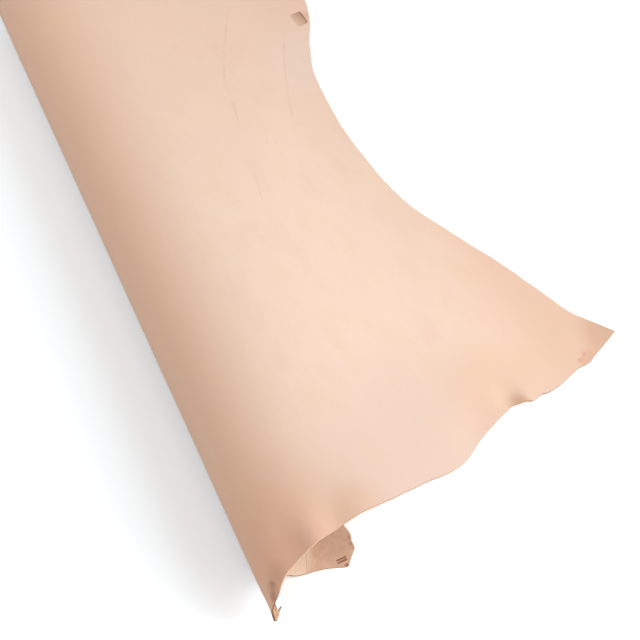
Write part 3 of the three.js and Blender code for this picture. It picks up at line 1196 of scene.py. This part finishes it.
@dataclass
class Hide:
    """The leather shoulder itself: cut flat, pressed by the clamps and laid over its fold."""

    name: str = "Leather_shoulder"
    flat_size: tuple[float, float] = (0.723, 0.928)
    area: float = 0.509
    thickness: float = THICKNESS
    corner: float = 0.0002  # rounding of the knife-cut corners
    corner_angle: float = 70  # in degrees: only sharper corners are rounded
    spread_from: float = 0.200  # across: beyond this line the mesh columns fan out to the flank
    spine_from: float = -0.110  # across: beyond this line they draw in to the spine cut
    marks: tuple[ClampMark, ...] = CLAMP_MARKS
    barb: Barb = Barb()
    wobble: KnifeWobble = KnifeWobble()
    grain: GrainFinish = GrainFinish()
    flesh: FleshFinish = FleshFinish()
    cut: CutFinish = CutFinish()

    def build(self, form: FoldedForm) -> bpy.types.Object:
        """Make the hide.

        Args:
            form: the shape in which it lies.

        Returns:
            The finished object.
        """
        mesh = bpy.data.meshes.new(self.name)
        sheet = bmesh.new()
        self._cut_out(sheet)
        self.barb.draw_out(sheet)
        self._refine_marks(sheet)
        self.wobble.roughen(sheet)
        self._keep_flat_places(sheet)
        shift = self._press(sheet)
        self._lay(sheet, form, shift)
        for face in sheet.faces:
            face.smooth = True
        sheet.to_mesh(mesh)
        sheet.free()
        piece = bpy.data.objects.new(self.name, mesh)
        bpy.context.scene.collection.objects.link(piece)
        piece.vertex_groups.new(name=THICKNESS_GROUP)
        for finish in (self.grain, self.flesh, self.cut):
            mesh.materials.append(finish.build())
        self._thicken(piece)
        return piece

    def _cut_out(self, sheet: bmesh.types.BMesh) -> None:
        """Cut the flat outline: a grid whose columns run from the front edge to the bend cut.

        Args:
            sheet: the mesh that gets the grid.
        """
        columns = stations(FRONT_EDGE[0].across, COLUMNS)
        rows = stations(0.0, ROWS) / ROWS[-1].to
        bmesh.ops.create_grid(sheet, x_segments=len(columns) - 1, y_segments=len(rows) - 1,
                              size=0.5)
        tip, corner = FLANK_EDGE[0], FLANK_EDGE[-1]
        front = smooth_edge(columns, ((p.across, p.along, p.sharp) for p in FRONT_EDGE))
        flank = smooth_edge(tip.along + (corner.along - tip.along) * rows,
                            ((p.along, p.across, p.sharp) for p in FLANK_EDGE))
        bow = flank - (tip.across + (corner.across - tip.across) * rows)
        spine_corner = SPINE_EDGE[0]
        spread = np.maximum(columns - self.spread_from, 0)
        tuck = np.maximum(self.spine_from - columns, 0) / (self.spine_from - spine_corner.across)
        fan = (corner.across - self.spread_from) / (tip.across - self.spread_from)
        back = np.minimum(columns, self.spread_from) + spread * fan
        share = spread / (tip.across - self.spread_from)
        spine = [(p.along, p.across, p.sharp) for p in SPINE_EDGE]
        for vert in sheet.verts:
            i = round((vert.co.x + 0.5) * (len(columns) - 1))
            j = round((vert.co.y + 0.5) * (len(rows) - 1))
            across = columns[i] + (back[i] - columns[i]) * rows[j] + share[i] * bow[j]
            along = front[i] + (BEND_CUT - front[i]) * rows[j]
            if tuck[i]:
                cut = smooth_edge(max(along, spine_corner.along), spine)
                across += tuck[i] * (cut - spine_corner.across)
            vert.co = (across, along, 0)

    def _refine_marks(self, sheet: bmesh.types.BMesh) -> None:
        """Make the mesh finer where a clamp pressed the hide.

        Args:
            sheet: the flat mesh.
        """
        for mark in self.marks:
            faces = [face for face in sheet.faces
                     if mark.near(*face.calc_center_median().xy)]
            sheet.edges.index_update()
            edges = sorted({line for face in faces for line in face.edges},
                           key=lambda line: line.index)
            bmesh.ops.subdivide_edges(sheet, edges=edges, cuts=mark.cuts, use_grid_fill=True)

    def _keep_flat_places(self, sheet: bmesh.types.BMesh) -> None:
        """Store the flat place of every corner as the UV map.

        Args:
            sheet: the flat mesh.
        """
        flat = sheet.loops.layers.uv.new(FLAT_MAP)
        for face in sheet.faces:
            for loop in face.loops:
                loop[flat].uv = loop.vert.co.xy

    def _press(self, sheet: bmesh.types.BMesh) -> np.ndarray:
        """Press the clamp marks: keep their polish and the painted shade of their walls, and thin
        the hide there.

        Args:
            sheet: the flat mesh.

        Returns:
            How far each vertex's middle surface moves, towards the grain side where positive.
        """
        burnish = sheet.verts.layers.float.new(BURNISH_AND_WALL_SHADE)
        weights = sheet.verts.layers.deform.verify()
        flat = flat_rows(sheet)
        shift, polish = np.zeros_like(flat)
        kept = np.ones_like(shift)
        for mark in self.marks:
            pressed, brown = mark.press(flat)
            outward = 1 if mark.side is Side.GRAIN else -1
            shift -= outward * pressed * mark.depth / 2
            kept -= pressed * mark.depth / self.thickness
            polish += brown
        for i, vert in enumerate(sheet.verts):
            vert[burnish] = polish[i]
            vert[weights][0] = kept[i]
        return shift

    def _lay(self, sheet: bmesh.types.BMesh, form: FoldedForm, shift: np.ndarray) -> None:
        """Move every flat vertex to its place on the fold.

        Args:
            sheet: the flat mesh.
            form: the shape in which the hide lies.
            shift: how far each vertex moves out of the grain side.
        """
        flat = flat_rows(sheet)
        points = form.middle(flat) + form.normals(form.middle, flat) * shift[:, None]
        points += form.start
        for vert, point in zip(sheet.verts, points):
            vert.co = point
        sheet.normal_update()

    def _thicken(self, piece: bpy.types.Object) -> None:
        """Give the sheet its thickness, its flesh side and its cut edge.

        Args:
            piece: the hide, still one layer of faces.
        """
        shell = piece.modifiers.new("thickness", "SOLIDIFY")
        shell.thickness = self.thickness
        shell.offset = 0
        shell.vertex_group = THICKNESS_GROUP
        shell.material_offset = Side.FLESH
        shell.material_offset_rim = Side.CUT
        worn = piece.modifiers.new("worn corners", "BEVEL")
        worn.width = self.corner
        worn.segments = 2
        worn.limit_method = "ANGLE"
        worn.angle_limit = math.radians(self.corner_angle)
        flatter = piece.modifiers.new("flat faces", "WEIGHTED_NORMAL")
        flatter.keep_sharp = False


@dataclass(frozen=True)
class Lamp:
    """A square soft lamp that faces the hide.

    Its azimuth is in degrees from +X towards +Y, and its level is the brightness that it gives
    a white card held square to it.
    """

    name: str
    azimuth: float
    elevation: float
    level: float
    size: float = 1.8
    distance: float = 2.8

    def build(self) -> None:
        """Make the lamp."""
        azimuth, elevation = math.radians(self.azimuth), math.radians(self.elevation)
        outward = Vector((math.cos(azimuth) * math.cos(elevation),
                          math.sin(azimuth) * math.cos(elevation), math.sin(elevation)))
        lamp = bpy.data.lights.new(self.name, "AREA")
        lamp.shape = "SQUARE"
        lamp.size = self.size
        lamp.energy = self.level * (math.pi * self.distance) ** 2
        piece = bpy.data.objects.new(self.name, lamp)
        piece.location = outward * self.distance
        piece.rotation_euler = (-outward).to_track_quat("-Z", "Y").to_euler()
        bpy.context.scene.collection.objects.link(piece)


LAMPS = (
    Lamp("Key_low", 305, 16, 0.46),
    Lamp("Key_high", 325, 36, 0.39),
    Lamp("Fill_back_left", 135, 50, 0.19),
    Lamp("Fill_front_left", 225, 50, 0.07),
)


@dataclass
class Studio:
    """The pale floor, the soft lamps and the camera."""

    floor_size: float = 14.0
    floor_drop: float = 0.0002
    floor: FloorFinish = FloorFinish()
    fill: float = 0.43
    aim: tuple[float, float, float] = (-0.0538, -0.1201, 0.0)
    azimuth: float = -23.834
    elevation: float = 60.0
    distance: float = 2.133
    lens: float = 100.0
    sensor: float = 36.0

    def build(self) -> None:
        """Make the whole studio."""
        self._floor()
        self._world()
        for lamp in LAMPS:
            lamp.build()
        self._camera()

    def _floor(self) -> None:
        """A plain white floor just under the hide."""
        mesh = bpy.data.meshes.new("Floor")
        plane = bmesh.new()
        bmesh.ops.create_grid(plane, x_segments=1, y_segments=1, size=self.floor_size / 2)
        bmesh.ops.translate(plane, verts=plane.verts, vec=(0, 0, -self.floor_drop))
        plane.to_mesh(mesh)
        plane.free()
        mesh.materials.append(self.floor.build())
        piece = bpy.data.objects.new("Floor", mesh)
        bpy.context.scene.collection.objects.link(piece)

    def _world(self) -> None:
        """An even fill from all round, seen by the camera as white."""
        world = bpy.data.worlds.new("Studio")
        bpy.context.scene.world = world
        world.use_nodes = True
        tree = world.node_tree
        tree.nodes.clear()
        seen = add_node(tree, "LightPath").outputs["Is Camera Ray"]
        strength = add_node(tree, "MapRange", (seen, 0, 1, self.fill, 1))
        light = add_node(tree, "Background", {"Color": (1, 1, 1, 1), "Strength": strength})
        add_node(tree, "OutputWorld", {"Surface": light})

    def _camera(self) -> None:
        """The camera, looking down on the hide from the neck end's left."""
        azimuth, elevation = math.radians(self.azimuth), math.radians(self.elevation)
        back = Vector((math.sin(azimuth) * math.cos(elevation),
                       -math.cos(azimuth) * math.cos(elevation), math.sin(elevation)))
        data = bpy.data.cameras.new("Camera")
        data.lens = self.lens
        data.sensor_width = self.sensor
        camera = bpy.data.objects.new("Camera", data)
        camera.location = Vector(self.aim) + back * self.distance
        camera.rotation_euler = (-back).to_track_quat("-Z", "Y").to_euler()
        bpy.context.scene.collection.objects.link(camera)
        bpy.context.scene.camera = camera


def main() -> None:
    logging.basicConfig(level=logging.INFO, format="%(name)s: %(message)s")
    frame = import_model()
    scene = bpy.context.scene
    scene.view_settings.view_transform = "Standard"
    Studio().build()
    LOG.info("studio ready round %s", ", ".join(frame["nodes"]))
    hide = Hide()
    piece = hide.build(FoldedForm(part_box(NODE)))
    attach(piece, "root")
    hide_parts(NODE)
    LOG.info("%s: %d faces before its thickness", piece.name, len(piece.data.polygons))


if __name__ == "__main__":
    main()
